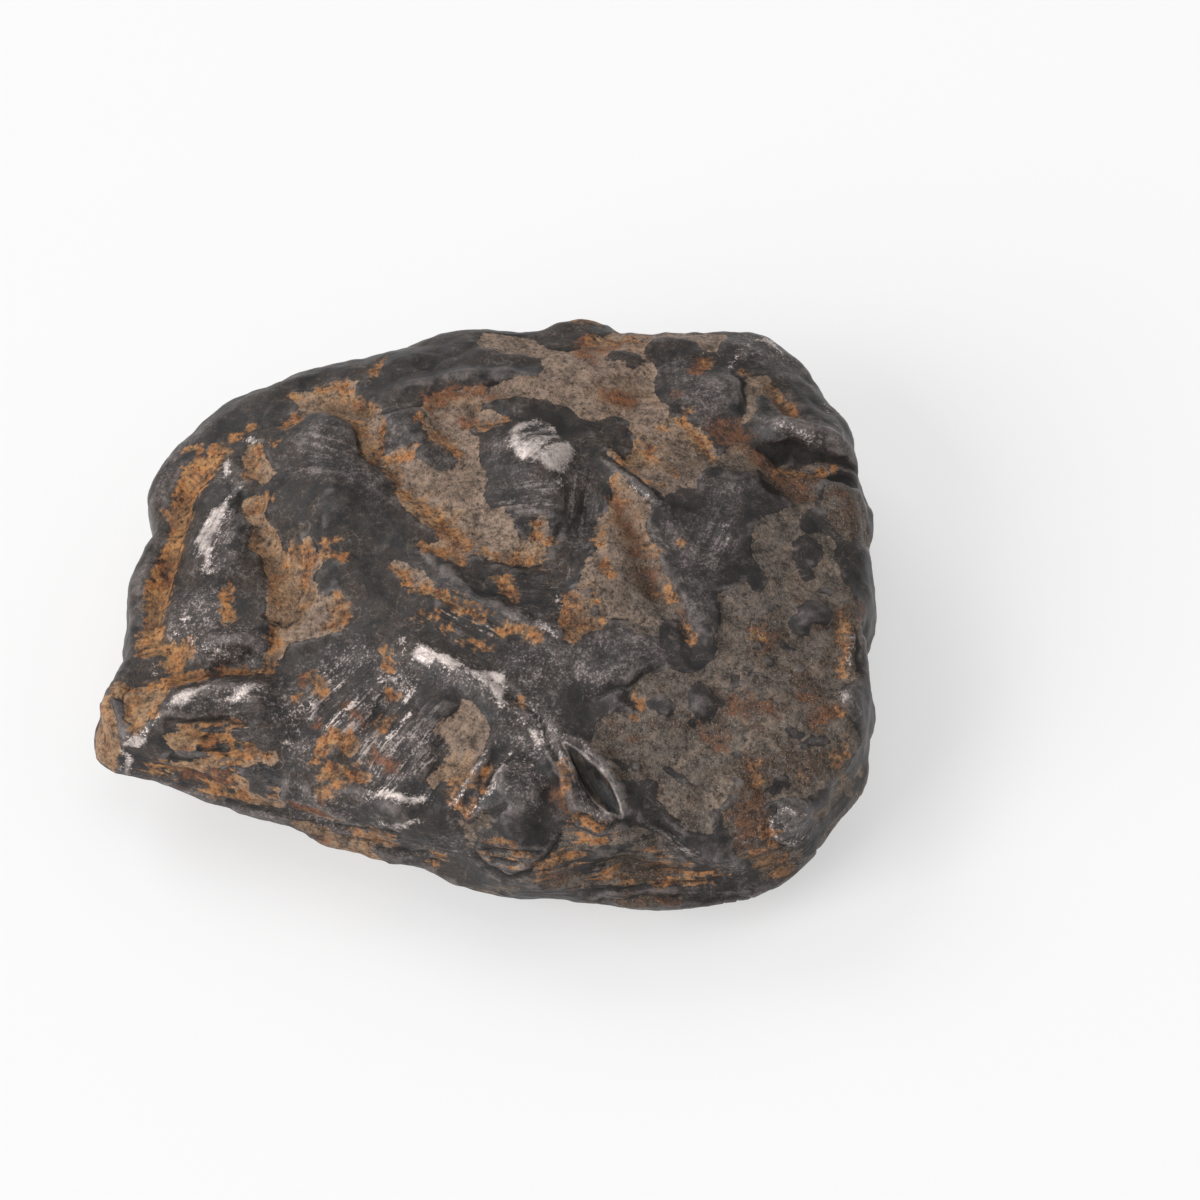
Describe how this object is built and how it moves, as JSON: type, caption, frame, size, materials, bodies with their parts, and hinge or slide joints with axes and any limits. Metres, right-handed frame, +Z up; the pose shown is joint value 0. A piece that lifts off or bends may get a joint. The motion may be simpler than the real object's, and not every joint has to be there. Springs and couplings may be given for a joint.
{
  "type": "iron meteorite",
  "caption": "Flattened iron meteorite with a torn, folded top, ridges, ledges and hollows, resting on a small flat spot.",
  "frame": {"origin": "middle of the piece on the surface it rests on", "axes": "+X along the longest extent, from the pointed end to the broad end; +Y away from the fan of ridges, to the back edge; +Z up, through the thickness"},
  "size_m": [0.0554, 0.0482, 0.0178],
  "materials": {
    "iron": "dark oxidised iron with grey-brown crust, orange and red-brown rust in the low places, and bare metal on the worn ridges"
  },
  "bodies": {
    "root": {"meteorite": "iron"}
  },
  "joints": []
}
